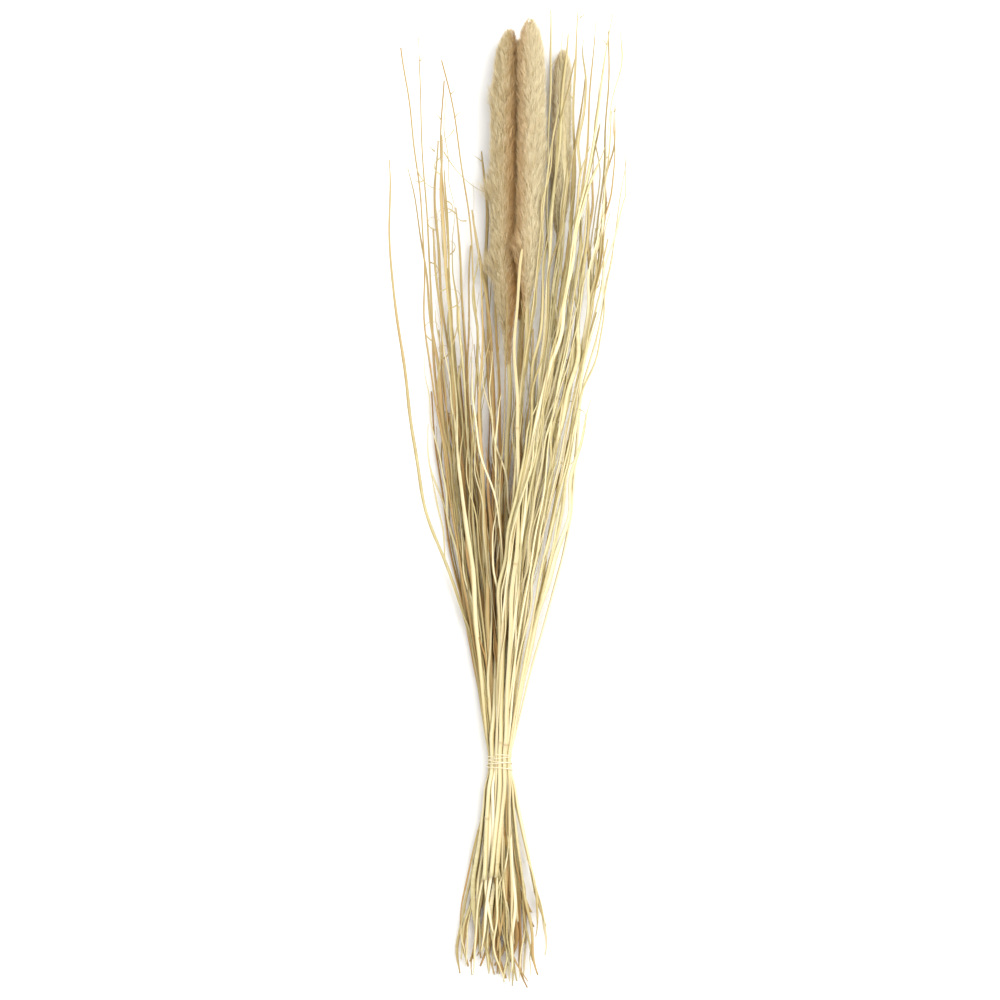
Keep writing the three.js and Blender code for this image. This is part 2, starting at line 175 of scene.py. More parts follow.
class Shape:
    """Corners, faces and attributes gathered from several sweeps, made into one object at the end."""

    # core also holds painted shade: inside cut openings on straws, and in the creases between plumes on
    # hairs.
    ATTRIBUTES = ("fibre", "tone", "mark", "core", "rim")

    def __init__(self):
        self.points, self.faces, self.slots = [], [], []
        self.values = {name: [] for name in self.ATTRIBUTES}
        self.count = 0

    def add(self, points, fibre, tone, mark=0.0, core=0.0, rim=0.0):
        """Adds corners with their attributes, and gives the number of the first."""
        first = self.count
        self.points.append(points)
        self.values["fibre"].append(fibre)
        for name, value in (("tone", tone), ("mark", mark), ("core", core), ("rim", rim)):
            self.values[name].append(np.broadcast_to(np.asarray(value, float), len(points)))
        self.count += len(points)
        return first

    def face(self, corners, slot=0):
        """Adds faces of one size, a row of corner numbers each."""
        self.faces.append(corners)
        self.slots.append(np.full(len(corners), slot))

    def make(self, name, materials):
        """The object, with its attributes and materials, in the scene."""
        sizes = np.concatenate([np.full(len(group), group.shape[1]) for group in self.faces])
        corners = np.concatenate([group.ravel() for group in self.faces])
        mesh = bpy.data.meshes.new(name)
        mesh.vertices.add(self.count)
        mesh.vertices.foreach_set("co", np.concatenate(self.points).ravel())
        mesh.loops.add(len(corners))
        mesh.loops.foreach_set("vertex_index", corners)
        mesh.polygons.add(len(sizes))
        mesh.polygons.foreach_set("loop_start", np.concatenate([[0], np.cumsum(sizes)[:-1]]))
        mesh.polygons.foreach_set("loop_total", sizes)
        mesh.polygons.foreach_set("material_index", np.concatenate(self.slots))
        mesh.update(calc_edges=True)
        mesh.shade_smooth()
        for attribute in self.ATTRIBUTES:
            flat = np.concatenate(self.values[attribute]).ravel()
            kind, key = ("FLOAT_VECTOR", "vector") if attribute == "fibre" else ("FLOAT", "value")
            mesh.attributes.new(attribute, kind, "POINT").data.foreach_set(key, flat)
        for material in materials:
            mesh.materials.append(material)
        obj = bpy.data.objects.new(name, mesh)
        bpy.context.scene.collection.objects.link(obj)
        return obj

    def sweep(self, path, width, thickness, roll, tone, mark=None, sides=8, hollow=False, slot=0, fold=0.0):
        """A closed strand along path.

        Width and thickness are half sizes, roll turns the section, and fold creases it.
        """
        side, up = frames_along(path)
        s = distances(path)
        angle = np.arange(sides) * 2 * math.pi / sides
        across = np.cos(angle) * width[:, None]
        through = np.sin(angle) * thickness[:, None] + fold * (np.abs(np.cos(angle)) - 0.5) * width[:, None]
        a = across * np.cos(roll)[:, None] - through * np.sin(roll)[:, None]
        b = across * np.sin(roll)[:, None] + through * np.cos(roll)[:, None]
        rings = path[:, None] + side[:, None] * a[..., None] + up[:, None] * b[..., None]
        fibre = np.stack([across, through, np.broadcast_to(s[:, None], across.shape)], axis=2)
        marks = np.zeros(len(path)) if mark is None else mark
        tones = np.broadcast_to(np.asarray(tone, float), len(path))
        core = np.zeros(len(path))
        rim = np.broadcast_to(np.cos(angle), across.shape)
        if hollow:
            inward = unit(path[1] - path[0])
            lip = path[0] + (rings[0] - path[0]) * 0.66
            pit = path[0] + (rings[0] - path[0]) * 0.6 + inward * 5 * MM
            rings = np.concatenate([[pit, lip], rings])
            fibre = np.concatenate([fibre[:1], fibre[:1], fibre])
            rim = np.concatenate([rim[:1] * 0, rim[:1] * 0, rim])
            marks = np.concatenate([[0, 0], marks])
            tones = np.concatenate([tones[:2], tones])
            # The pit and lip of a cut end are marked for painted shade inside the opening, darkest at the
            # pit.
            core = np.concatenate([[1, 0.55], core])
        count = len(rings)
        first = self.add(rings.reshape(-1, 3), fibre.reshape(-1, 3), np.repeat(tones, sides),
                         np.repeat(marks, sides), np.repeat(core, sides), rim.ravel())
        start = first + np.arange(count - 1)[:, None] * sides + np.arange(sides)
        following = first + np.arange(count - 1)[:, None] * sides + (np.arange(sides) + 1) % sides
        quads = np.stack([start, following, following + sides, start + sides], axis=2)
        self.face(quads.reshape(-1, 4), slot)
        last = first + (count - 1) * sides
        self.face(np.array([first + np.arange(sides)[::-1], last + np.arange(sides)]), slot)


# Shaders


class Wire:
    """A node's output, on which Python's operators add nodes."""

    def __init__(self, nodes, socket):
        self.nodes, self.socket = nodes, socket

    def math(self, operation, *values):
        return self.nodes.add("ShaderNodeMath", {"operation": operation}, dict(enumerate(values)))

    def __add__(self, other):
        return self.math("ADD", self, other)

    def __sub__(self, other):
        return self.math("SUBTRACT", self, other)

    def __rsub__(self, other):
        return self.math("SUBTRACT", other, self)

    def __mul__(self, other):
        return self.math("MULTIPLY", self, other)

    def __pow__(self, other):
        return self.math("POWER", self, other)

    __radd__, __rmul__ = __add__, __mul__

    def held(self):
        """The value kept from 0 to 1."""
        return self.nodes.add("ShaderNodeClamp", {}, {"Value": self})

    def stretched(self, scale):
        """A vector scaled along each of its axes."""
        return self.nodes.add("ShaderNodeVectorMath", {"operation": "MULTIPLY"}, {0: self, 1: scale})

    def shifted(self, amount):
        """A vector moved along its last axis by a value."""
        apart = self.nodes.add("ShaderNodeSeparateXYZ", {}, {0: self})
        x, y, z = (Wire(self.nodes, apart.socket.node.outputs[i]) for i in range(3))
        return self.nodes.add("ShaderNodeCombineXYZ", {}, {0: x, 1: y, 2: z + amount})


class Nodes:
    """A material's node tree, and the one method that adds any node to it."""

    def __init__(self, name):
        self.material = bpy.data.materials.new(name)
        self.material.use_nodes = True
        self.tree = self.material.node_tree
        self.shader = self.tree.nodes["Principled BSDF"]

    def add(self, kind, settings, values, output=0):
        node = self.tree.nodes.new(kind)
        for key, value in settings.items():
            if key == "stops":
                ramp = node.color_ramp.elements
                while len(ramp) < len(value):
                    ramp.new(0.5)
                for element, (place, colour) in zip(ramp, value):
                    element.position = place
                    element.color = (*colour, 1)
            else:
                setattr(node, key, value)
        for key, value in values.items():
            self.feed(node.inputs[key], value)
        return Wire(self, node.outputs[output])

    def feed(self, socket, value):
        if isinstance(value, Wire):
            self.tree.links.new(value.socket, socket)
        elif socket.type == "RGBA" and len(value) == 3:
            socket.default_value = (*value, 1)
        else:
            socket.default_value = value

    def attribute(self, name, output="Fac"):
        node = self.add("ShaderNodeAttribute", {"attribute_name": name}, {})
        return Wire(self, node.socket.node.outputs[output])

    def noise(self, vector, detail=2.0, roughness=0.5):
        return self.add("ShaderNodeTexNoise", {}, {"Vector": vector, "Scale": 1.0, "Detail": detail,
                                                   "Roughness": roughness})

    def ramp(self, value, stops):
        return self.add("ShaderNodeValToRGB", {"stops": stops}, {"Fac": value})

    def mix(self, share, first, second, blend="MIX"):
        values = {0: share, 6: first, 7: second}
        return self.add("ShaderNodeMix", {"data_type": "RGBA", "blend_type": blend}, values, 2)

    def bump(self, height, strength, distance):
        return self.add("ShaderNodeBump", {}, {"Height": height, "Strength": strength, "Distance": distance})

    def finish(self, **values):
        for key, value in values.items():
            self.feed(self.shader.inputs[key.replace("_", " ")], value)
        return self.material


def straw_material(look):
    """Dry straw: fibre streaks, darker edges partly painted shade, patches of age, brown joints, painted
    shade in cut ends.
    """
    nodes = Nodes("dry_straw")
    fibre = nodes.attribute("fibre", "Vector")
    tone = nodes.attribute("tone")
    placed = fibre.shifted(tone * 7.0)
    streak = nodes.noise(placed.stretched((1900, 1900, 11)), 3, 0.6)
    fine = nodes.noise(placed.stretched((5200, 5200, 30)), 2, 0.6)
    patch = nodes.noise(placed.stretched((60, 60, 9)), 2, 0.55)
    speck = nodes.noise(placed.stretched((1500, 1500, 420)), 1, 0.5)
    body = nodes.ramp((tone + (patch - 0.5) * 0.5).held(), [
        (0.0, look.rust_and_shade), (0.2, look.tan), (0.45, look.olive), (0.68, look.straw), (1.0, look.cream)])
    depth = ((streak - 0.5) * 1.1 + (fine - 0.5) * 0.5 + 0.5).held()
    rim = nodes.attribute("rim")
    # Both edges of each strand darker and one edge darker still: partly brown margins, partly painted shade
    # of the strand's shaded side.
    margin_and_shade = (rim * rim * 0.5 + rim * 0.4).held() * 0.62
    streaked_and_shaded = nodes.mix((depth * 0.45 + margin_and_shade).held(), body, look.shade, "MULTIPLY")
    dots = nodes.mix(((speck - 0.66) * 5).held() * 0.5, streaked_and_shaded, look.brown)
    joints = nodes.mix(nodes.attribute("mark") * 0.6, dots, look.brown)
    # Painted shade inside cut openings, darkest at the pit.
    colour = nodes.mix(nodes.attribute("core"), joints, look.hollow_shade)
    return nodes.finish(
        Base_Color=colour,
        Roughness=(depth * 0.25 + 0.42).held(),
        Normal=nodes.bump(depth, 0.5, 0.12 * MM),
        Specular_IOR_Level=0.45,
    )


def plume_material(look):
    """Soft dry hairs: brown root, pale tip, lighter and darker tufts, painted shade in creases and under
    other plumes.
    """
    nodes = Nodes("plume_hair")
    reach = nodes.attribute("mark")
    tone = nodes.attribute("tone")
    along = nodes.ramp(reach, [(0.0, look.root), (0.45, look.middle), (1.0, look.tip)])
    tufted_and_shaded = nodes.mix(tone.held(), along, look.shade, "MULTIPLY")
    patch = nodes.noise(nodes.attribute("fibre", "Vector").stretched((170, 110, 170)), 2, 0.5)
    # Hair in the creases between plumes multiplied towards reddish brown: painted shade.
    crease_shaded = nodes.mix(nodes.attribute("core").held(), tufted_and_shaded, look.rust_and_shade, "MULTIPLY")
    colour = nodes.mix(((patch - 0.5) * 1.8).held() * 0.45, crease_shaded, look.middle, "MULTIPLY")
    return nodes.finish(Base_Color=colour, Roughness=0.8, Specular_IOR_Level=0.2, Sheen_Weight=0.25,
                        Sheen_Roughness=0.5)


def cord_material(look):
    """Pale twine: fine fibres along it, with darker gaps between them."""
    nodes = Nodes("pale_twine")
    fibre = nodes.attribute("fibre", "Vector")
    hairs = nodes.noise(fibre.stretched((4000, 4000, 900)), 3, 0.65)
    colour = nodes.mix((hairs * 0.6).held(), look.colour, look.shade, "MULTIPLY")
    return nodes.finish(Base_Color=colour, Roughness=0.85, Normal=nodes.bump(hairs, 0.6, 0.1 * MM),
                        Specular_IOR_Level=0.25)


# Settings


def length(name, description, default):
    return FloatProperty(name=name, description=description, default=default, subtype="DISTANCE",
                         unit="LENGTH")


def colour(name, description, default):
    return FloatVectorProperty(name=name, description=description, default=default, size=3,
                               subtype="COLOR", min=0, max=1)


class FoxtailStraw(bpy.types.PropertyGroup):
    """Sizes and colours of the stems and blades."""

    spacing: length("Ring spacing", "Distance between rings along a stem", 7 * MM)
    sway: length("Sway", "How far a stem wanders from its straight run", 2.0 * MM)
    joint_gap: length("Joint gap", "Usual distance from one joint of a stem to the next", 150 * MM)
    cream: colour("Cream", "Palest straw, on the side that faces the light", (0.90, 0.84, 0.62))
    straw: colour("Straw", "Usual straw", (0.81, 0.74, 0.48))
    olive: colour("Olive", "Straw that dried while still green", (0.62, 0.56, 0.31))
    tan: colour("Tan", "Aged straw", (0.51, 0.41, 0.19))
    # The darkest straw colour: mostly painted shade, on strands lying deep in the bundle and on the dark
    # blades in its hollow, and the brown of some tips.
    rust_and_shade: colour("Rust", "Oldest straw, deep inside the bundle", (0.50, 0.31, 0.12))
    brown: colour("Brown", "Joints and specks", (0.30, 0.18, 0.06))
    # Painted shade inside the opening of a cut stem.
    hollow_shade: colour("Pith", "Inside of a cut stem", (0.13, 0.07, 0.025))
    # The streak colour also darkens the strand edges, which is partly painted shade.
    shade: colour("Streak", "What the streaks multiply the straw by", (0.58, 0.46, 0.23))


class FoxtailPlume(bpy.types.PropertyGroup):
    """Sizes and colours of the plumes."""

    hair_length: length("Hair length", "Length of a hair on the widest plume", 13 * MM)
    hair_width: length("Hair width", "Width of a hair at its root", 0.2 * MM)
    tuft_gap: length("Tuft gap", "Distance between the roots of two tufts", 3.1 * MM)
    fuzz: IntProperty(name="Fuzz", description="How many very fine hairs lie over the tufts",
                      default=26000, min=0)
    hairs: IntProperty(name="Hairs in a tuft", description="How many hairs each tuft has", default=16, min=1)
    root: colour("Root", "Hair near the stalk", (0.50, 0.39, 0.21))
    middle: colour("Middle", "Hair half way along", (0.79, 0.69, 0.44))
    tip: colour("Tip", "End of a hair", (0.93, 0.86, 0.63))
    # The darkest tufts are partly random and partly painted shade of plumes lying under others.
    shade: colour("Dark tufts", "What the darkest tufts are multiplied by", (0.60, 0.49, 0.31))
    # Painted shade of the creases between plumes.
    rust_and_shade: colour("Rust", "What the hair in the creases between plumes is multiplied by", (0.75, 0.48, 0.20))


class FoxtailBinding(bpy.types.PropertyGroup):
    """Colours of the binding."""

    colour: colour("Twine", "Colour of the twine", (0.82, 0.75, 0.54))
    shade: colour("Twine shade", "What the gaps between fibres multiply it by", (0.72, 0.62, 0.45))


class FoxtailStage(bpy.types.PropertyGroup):
    """Floor, lights and camera."""

    lens: FloatProperty(name="Lens", description="Focal length of the camera", default=200, unit="CAMERA")
    field: length("Field", "Width of what the camera sees at the bundle", 1.0)
    floor: colour("Floor", "Colour of the floor", (0.93, 0.93, 0.925))
    key: FloatProperty(name="Key light", description="Power of the light at the right", default=60,
                       unit="POWER")
    sky: FloatProperty(name="Sky", description="Strength of the even light from all round", default=0.98)


# Pieces


def put(obj, slot, *replaced):
    """Hands a finished piece to the frame."""
    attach(obj, "root")
    if replaced:
        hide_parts(*replaced)
    return obj


def tone_of(node, rng):
    """How pale a stem is, 0 to 1: the right of the bundle is creamy and the left more olive and tan."""
    low, high = (np.array(corner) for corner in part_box(node))
    across = ((low + high) / 2 - WAIST)[0] / FAN_REACH
    height = ((low + high) / 2)[2] / (40 * MM)
    # Under and middle stems, and stems lying lower, are darker: painted shade of the bundle's depth.
    deep = 0.35 if node.startswith(("under", "middle_stem")) else 0
    return float(np.clip(0.64 - deep + 0.16 * across + 0.3 * (height - 0.5) + rng.normal(0, 0.2), 0.1, 1.0))


def buried(path):
    """How deep each point of a strand lies, from 0 on top to 1 underneath, where the bundle is dense."""
    y = (path[:, 1] - WAIST[1]) / MM
    depth = 1 - path[:, 2] / MM / np.interp(y, *BUNDLE_HEIGHT)
    return smooth((depth - 0.34) / 0.3) * np.interp(y, *DENSE)


def stem_path(node, rng, look, sides=STRAND_SIDES):
    """A stem's fine path, radii and joints, wandering a little from its CAD solid except at the waist."""
    centres, radii = rings_of(node, sides)
    whole = distances(centres)
    joints = np.arange(rng.uniform(0.3, 1) * look.joint_gap, whole[-1] * 0.86, look.joint_gap)
    joints += rng.uniform(-0.25, 0.25, len(joints)) * look.joint_gap
    near = (joints[:, None] + np.array([-4, -2, -1, 0, 1, 2, 4]) * MM).ravel()
    at = np.concatenate([np.arange(0, whole[-1], look.spacing), near, [whole[-1]]])
    at = np.unique(np.clip(at, 0, whole[-1]))
    at = at[np.concatenate([[True], np.diff(at) > 0.3 * MM])]
    path = eased(centres, at)
    free = smooth((np.abs(path[:, 1] - WAIST[1]) - 25 * MM) / (160 * MM))
    path[:, 0] += wander(rng, at, 0.26) * free * look.sway
    path[:, 2] += wander(rng, at, 0.22) * free * look.sway * 0.4
    radius = np.interp(at, whole, radii)
    apart = np.abs(at[:, None] - joints[None]).min(axis=1) if len(joints) else np.full(len(at), 1.0)
    return path, at, radius, apart


def dress_stem(node, seed, material, look):
    """One stem or blade over its CAD solid."""
    rng = np.random.default_rng(seed)
    path, at, radius, apart = stem_path(node, rng, look)
    thick = radius.max() > THICK_STRAW
    flat = 1.0 if thick else 0.3 if "blade" in node else rng.choice([1.0, 0.55, 0.4, 0.3])
    tubular = flat > 0.8
    jointed = tubular and rng.random() < 0.6
    swell = 1 + 0.2 * np.exp(-((apart / (1.7 * MM)) ** 2)) * jointed
    grain = 1 + 0.07 * wander(rng, at, 0.05)
    tight = smooth((np.abs(path[:, 1] - WAIST[1]) - 8 * MM) / (60 * MM))
    wide = radius * swell * grain * (1.06 if tubular else 1.62 + 0.35 * tight)
    wide = np.maximum(wide, 0.8 * MM)
    turn = rng.uniform(0, 3) + at * rng.uniform(-1, 1) * (2 if tubular else 9)
    below = smooth((WAIST[1] - 80 * MM - path[:, 1]) / (130 * MM))
    path[:, 0] += below * (wander(rng, at, 0.11, 2) * 3.2 + rng.normal(0, 2.5)) * MM * (0.4 if thick else 1)
    if not thick:
        last = np.maximum(0, 1 - at / (55 * MM)) ** 2
        path[:, 0] += last * rng.normal(0, 7 * MM)
        wide = wide * (1 - 0.5 * smooth(1 - at / (30 * MM)))
        path[:, 2] = np.maximum(path[:, 2] + below * rng.uniform(-2, 3) * MM, wide * flat)
    share = at / at[-1]
    tone = 0.9 if thick else tone_of(node, rng)
    tone = tone - 0.34 * smooth((path[:, 1] - WAIST[1] - 230 * MM) / (260 * MM)) * (not thick)
    # Strands lying deep under others in the dense parts are darkened towards reddish brown: painted shade.
    inside = buried(path) * ("outer" not in node)
    tone = tone - rng.uniform(0.4, 0.8) * inside
    tone = tone - rng.uniform(0, 0.4) * smooth((share - 0.72) / 0.28)
    tone = tone - rng.uniform(0, 0.35) * smooth(1 - share / 0.12)
    shape = Shape()
    shape.sweep(path, wide, wide * flat, turn, np.clip(tone, 0.15 * (1 - inside), 1),
                0.9 * jointed * np.exp(-((apart / (1.3 * MM)) ** 2)), hollow=tubular,
                fold=0 if tubular else 0.45)
    return put(shape.make(f"dry_{node}", [material]), "straw", node)


class FOXTAIL_OT_stems(bpy.types.Operator):
    """Make every stem and blade of the bundle"""

    bl_idname = "foxtail.stems"
    bl_label = "Stems and blades"

    def execute(self, context):
        look = context.scene.foxtail_straw
        material = straw_material(look)
        for i, node in enumerate(STEMS):
            dress_stem(node, 100 + i, material, look)
        return {"FINISHED"}


def girth_at(y, centres, radii):
    """A plume's radius at y, with its tip rounded off."""
    below_tip = centres[-1, 1] - y
    rounded = radii.max() * 0.82 * np.clip(below_tip / DOME, 0, 1) ** 0.42 * (below_tip < DOME)
    return np.maximum(np.interp(y, centres[:, 1], radii), rounded)


def tuft_roots(centres, radii, gap, rng):
    """Each tuft's y and angle on a plume, the plume's centre and radius there, and share of its length."""
    head = radii > 1.25 * radii[0]
    base, tip = centres[head.argmax() - 1, 1], centres[-1, 1]
    y = np.linspace(base, tip, 400)
    girth = 2 * math.pi * girth_at(y, centres, radii)
    area = np.concatenate([[0], np.cumsum((girth[1:] + girth[:-1]) / 2 * np.diff(y))])
    count = int(area[-1] / gap**2)
    at = np.interp((np.arange(count) + 0.5) / count * area[-1], area, y)
    angle = np.arange(count) * GOLDEN_ANGLE + rng.normal(0, 0.12, count)
    centre = np.stack([np.interp(at, centres[:, 1], centres[:, i]) for i in range(3)], axis=1)
    return at, angle, centre, girth_at(at, centres, radii), (at - base) / (tip - base)


def add_fuzz(shape, centres, radii, look, rng, painted_shade):
    """Very fine straight hairs over the tufts, one triangle each."""
    count = look.fuzz
    at, _, centre, radius, share = tuft_roots(centres, radii, look.tuft_gap, rng)
    pick = rng.integers(0, len(at), count)
    ray = rng.uniform(0, 2 * math.pi, count)
    out = np.stack([np.cos(ray), np.zeros(count), np.sin(ray)], axis=1)
    round_axis = np.stack([-np.sin(ray), np.zeros(count), np.cos(ray)], axis=1)
    forward = np.array([0.0, 1.0, 0.0])
    base = radius[pick]
    root = centre[pick] + out * (base * rng.uniform(0.62, 0.98, count))[:, None]
    root += forward * rng.uniform(-2, 2, (count, 1)) * MM
    lean = np.radians(rng.normal(30, 11, count))
    span = rng.uniform(3, 8, count) * MM * np.clip(base / (12 * MM), 0.35, 1)
    aside = round_axis * rng.normal(0, 0.16, count)[:, None]
    end = root + (out * np.sin(lean)[:, None] + forward * np.cos(lean)[:, None] + aside) * span[:, None]
    end[:, 2] = np.maximum(end[:, 2], FLOOR_GAP)
    roll = rng.uniform(-1.2, 1.2, count)
    across = round_axis * np.cos(roll)[:, None] + out * np.sin(roll)[:, None]
    lock = rng.random(count) < 0.16
    half = look.hair_width * (0.32 * rng.uniform(0.7, 1.3, count) + 1.1 * lock)[:, None]
    corners = np.stack([root - across * half, root + across * half, end], axis=1)
    # Painted shade of plumes lying under others and of the creases between plumes.
    dark, rust_and_shade = painted_shade(ray, share[pick])
    tone = np.clip(rng.normal(0.12, 0.16, count) + dark + lock * rng.normal(0, 0.3, count), 0, 1)
    first = shape.add(corners.reshape(-1, 3), corners.reshape(-1, 3), np.repeat(tone, 3),
                      np.tile([0.45, 0.45, 1.0], count), np.repeat(rust_and_shade, 3))
    shape.face(first + np.arange(count)[:, None] * 3 + np.arange(3), 1)


def comb_hairs(shape, centres, radii, look, rng, tufts, painted_shade):
    """Covers a plume's head with hairs in tufts that rise from the stalk and lean towards the tip."""
    at, angle, centre, radius, share = tuft_roots(centres, radii, look.tuft_gap, rng)
    count, hairs = len(at), look.hairs
    uneven = 1 + 0.05 * np.sin(at * 260 + angle * 2) + 0.04 * np.sin(at * 610 - angle * 3)
    uneven += rng.normal(0, 0.06, count)
    lean = np.radians(rng.normal(38, 5, count))
    tone = 0.16 + 0.12 * np.sin(at * 340 + angle * 3) + rng.normal(0, 0.15, count)
    # Painted shade of plumes lying under others and of the creases between plumes.
    dark, rust_and_shade = painted_shade(angle, share)
    tone += dark
    size = look.hair_length * (radius / (14 * MM)) ** 0.45 * uneven
    for place, bearing, extra in tufts:
        near = np.exp(-(((at - WAIST[1] - place) / (12 * MM)) ** 2))
        near *= np.maximum(0, np.cos(angle - bearing)) ** 2
        size *= 1 + 1.0 * extra * near
        lean += 0.5 * extra * near
    near_tip = smooth((share - 0.86) / 0.14)
    lean *= 1 - 0.25 * near_tip
    size *= 1 - 0.5 * near_tip

    def spread_out(values):
        return np.repeat(values, hairs, axis=0)

    total = count * hairs
    sway = rng.normal(0, 1, (total, 3))
    ray = spread_out(angle) + sway[:, 0] * 0.8 * MM / np.maximum(spread_out(radius) * 0.5, 2 * MM)
    out = np.stack([np.cos(ray), np.zeros(total), np.sin(ray)], axis=1)
    forward = np.array([0.0, 1.0, 0.0])
    round_axis = np.stack([-np.sin(ray), np.zeros(total), np.cos(ray)], axis=1)
    root = spread_out(centre) + out * spread_out(radius * (0.5 + 0.3 * near_tip))[:, None]
    root += forward * (sway[:, 1] * 1.1 * MM)[:, None]
    span = spread_out(size) * np.clip(rng.normal(1, 0.16, total), 0.5, 1.5)
    stray = rng.random(total) < 0.07
    start = spread_out(lean) + rng.normal(0, 0.07, total) + stray * rng.uniform(0.1, 0.5, total)
    aside = round_axis * (spread_out(rng.normal(0, 0.16, count)) + rng.normal(0, 0.07, total))[:, None]

    def along(turn):
        return out * np.sin(turn)[:, None] + forward * np.cos(turn)[:, None] + aside

    middle = root + along(start) * (span * 0.55)[:, None]
    end = middle + along(start * 0.45) * (span * 0.45)[:, None]
    gathered = end.reshape(count, hairs, 3).mean(axis=1)
    end += (spread_out(gathered) - end) * (0.56 * ~stray)[:, None]
    for points in (middle, end):
        points[:, 2] = np.maximum(points[:, 2], FLOOR_GAP)
    roll = rng.uniform(-1.1, 1.1, total)
    across = round_axis * np.cos(roll)[:, None] + out * np.sin(roll)[:, None]
    half = look.hair_width / 2 * rng.uniform(0.7, 1.3, total)[:, None]
    corners = np.stack([root - across * half, root + across * half, middle + across * half * 0.85,
                        middle - across * half * 0.85, end], axis=1)
    reach = np.tile([0.0, 0.0, 0.6, 0.6, 1.0], total)
    shade = np.repeat(np.clip(spread_out(tone) + rng.normal(0, 0.2, total), 0, 1), 5)
    first = shape.add(corners.reshape(-1, 3), corners.reshape(-1, 3), shade, reach,
                      np.repeat(spread_out(rust_and_shade), 5))
    start_of = first + np.arange(total)[:, None] * 5
    shape.face(start_of + np.array([0, 1, 2, 3]), 1)
    shape.face(start_of + np.array([3, 2, 4]), 1)
    add_fuzz(shape, centres, radii, look, rng, painted_shade)


TUFTS = {  # of each plume: distance from the binding, bearing round the plume, and how far it stands out
    "foxtail_left": [(565 * MM, math.pi * 0.95, 1.0), (488 * MM, math.pi, 1.1),
                     (655 * MM, math.pi * 0.9, 0.5)],
    "foxtail_front": [(600 * MM, 0.3, 0.4), (505 * MM, math.pi * 0.8, 0.6)],
    "foxtail_small": [(598 * MM, 0.1, 0.5), (660 * MM, math.pi, 0.4)],
}


# Painted shade: plumes lying under or behind others are darkened all over (the small one is lightened
# instead, as painted light), and hair facing a crease between plumes is made darker and browner.
PLUME_SHADE = {  # of each plume: how dark it is all over, how strong its painted crease shade is, and that side's bearing
    "foxtail_front": (0.05, 0.75, math.pi * 0.93),
    "foxtail_left": (0.38, 1.0, 0.45),
    "foxtail_back": (0.7, 0.8, math.pi / 2),
    "foxtail_small": (-0.16, 0.4, math.pi),
}


def dress_foxtail(node, seed, straw, hair, look, plume):
    """A plume over its CAD solid: a stalk that runs up into the head, a rough core, and its hairs."""
    rng = np.random.default_rng(seed)
    centres, radii = rings_of(node, PLUME_SIDES)
    whole = distances(centres)
    path, at, radius, apart = stem_path(node, rng, look, PLUME_SIDES)
    inside = np.minimum(radius, radii[0]) * (1 - 0.6 * smooth((at - whole[-1] * 0.6) / (whole[-1] * 0.4)))
    swell = 1 + 0.16 * np.exp(-((apart / (2.2 * MM)) ** 2))
    shape = Shape()
    shape.sweep(path, inside * swell, inside * swell, at * 2, 0.62 + rng.normal(0, 0.05),
                0.8 * np.exp(-((apart / (1.4 * MM)) ** 2)), sides=12, hollow=True)
    head = radius > 1.3 * radii[0]
    core = path[head]
    rough = 0.6 * radius[head] * (1 + 0.12 * wander(rng, at[head], 0.02))
    shape.sweep(core, rough, rough, at[head] * 3, 0.9, np.full(len(core), 0.12), sides=14, slot=1)
    even, most, bearing = PLUME_SHADE[node]

    # Painted shade of a hair by the way it faces: darker and browner towards the crease, most near the
    # plume's base.
    def painted_shade(angle, share):
        facing = np.maximum(0, np.cos(angle - bearing)) ** 2
        return even + 0.12 * facing, most * facing * (1 - 0.3 * share)

    comb_hairs(shape, centres, radii, plume, rng, TUFTS.get(node, []), painted_shade)
    return put(shape.make(f"dry_{node}", [straw, hair]), "plume", node)


class FOXTAIL_OT_plumes(bpy.types.Operator):
    """Make the plumes with their stalks and hairs"""

    bl_idname = "foxtail.plumes"
    bl_label = "Plumes"

    def execute(self, context):
        look, plume = context.scene.foxtail_straw, context.scene.foxtail_plume
        straw, hair = straw_material(look), plume_material(plume)
        for i, node in enumerate(FOXTAILS):
            dress_foxtail(node, 20 + i, straw, hair, look, plume)
        return {"FINISHED"}


# Strands that no CAD solid stands for. Each follows a stem, springs away from it and ends free.


def guide_at(y):
    """Every stem's centre where it crosses y, both counted from the binding's middle in plan."""
    found = []
    for node in STEMS:
        centres = rings_of(node, STRAND_SIDES)[0]
        if centres[0, 1] < y + WAIST[1] < centres[-1, 1]:
            found.append([np.interp(y + WAIST[1], centres[:, 1], centres[:, i]) for i in (0, 2)])
    return np.array(found)


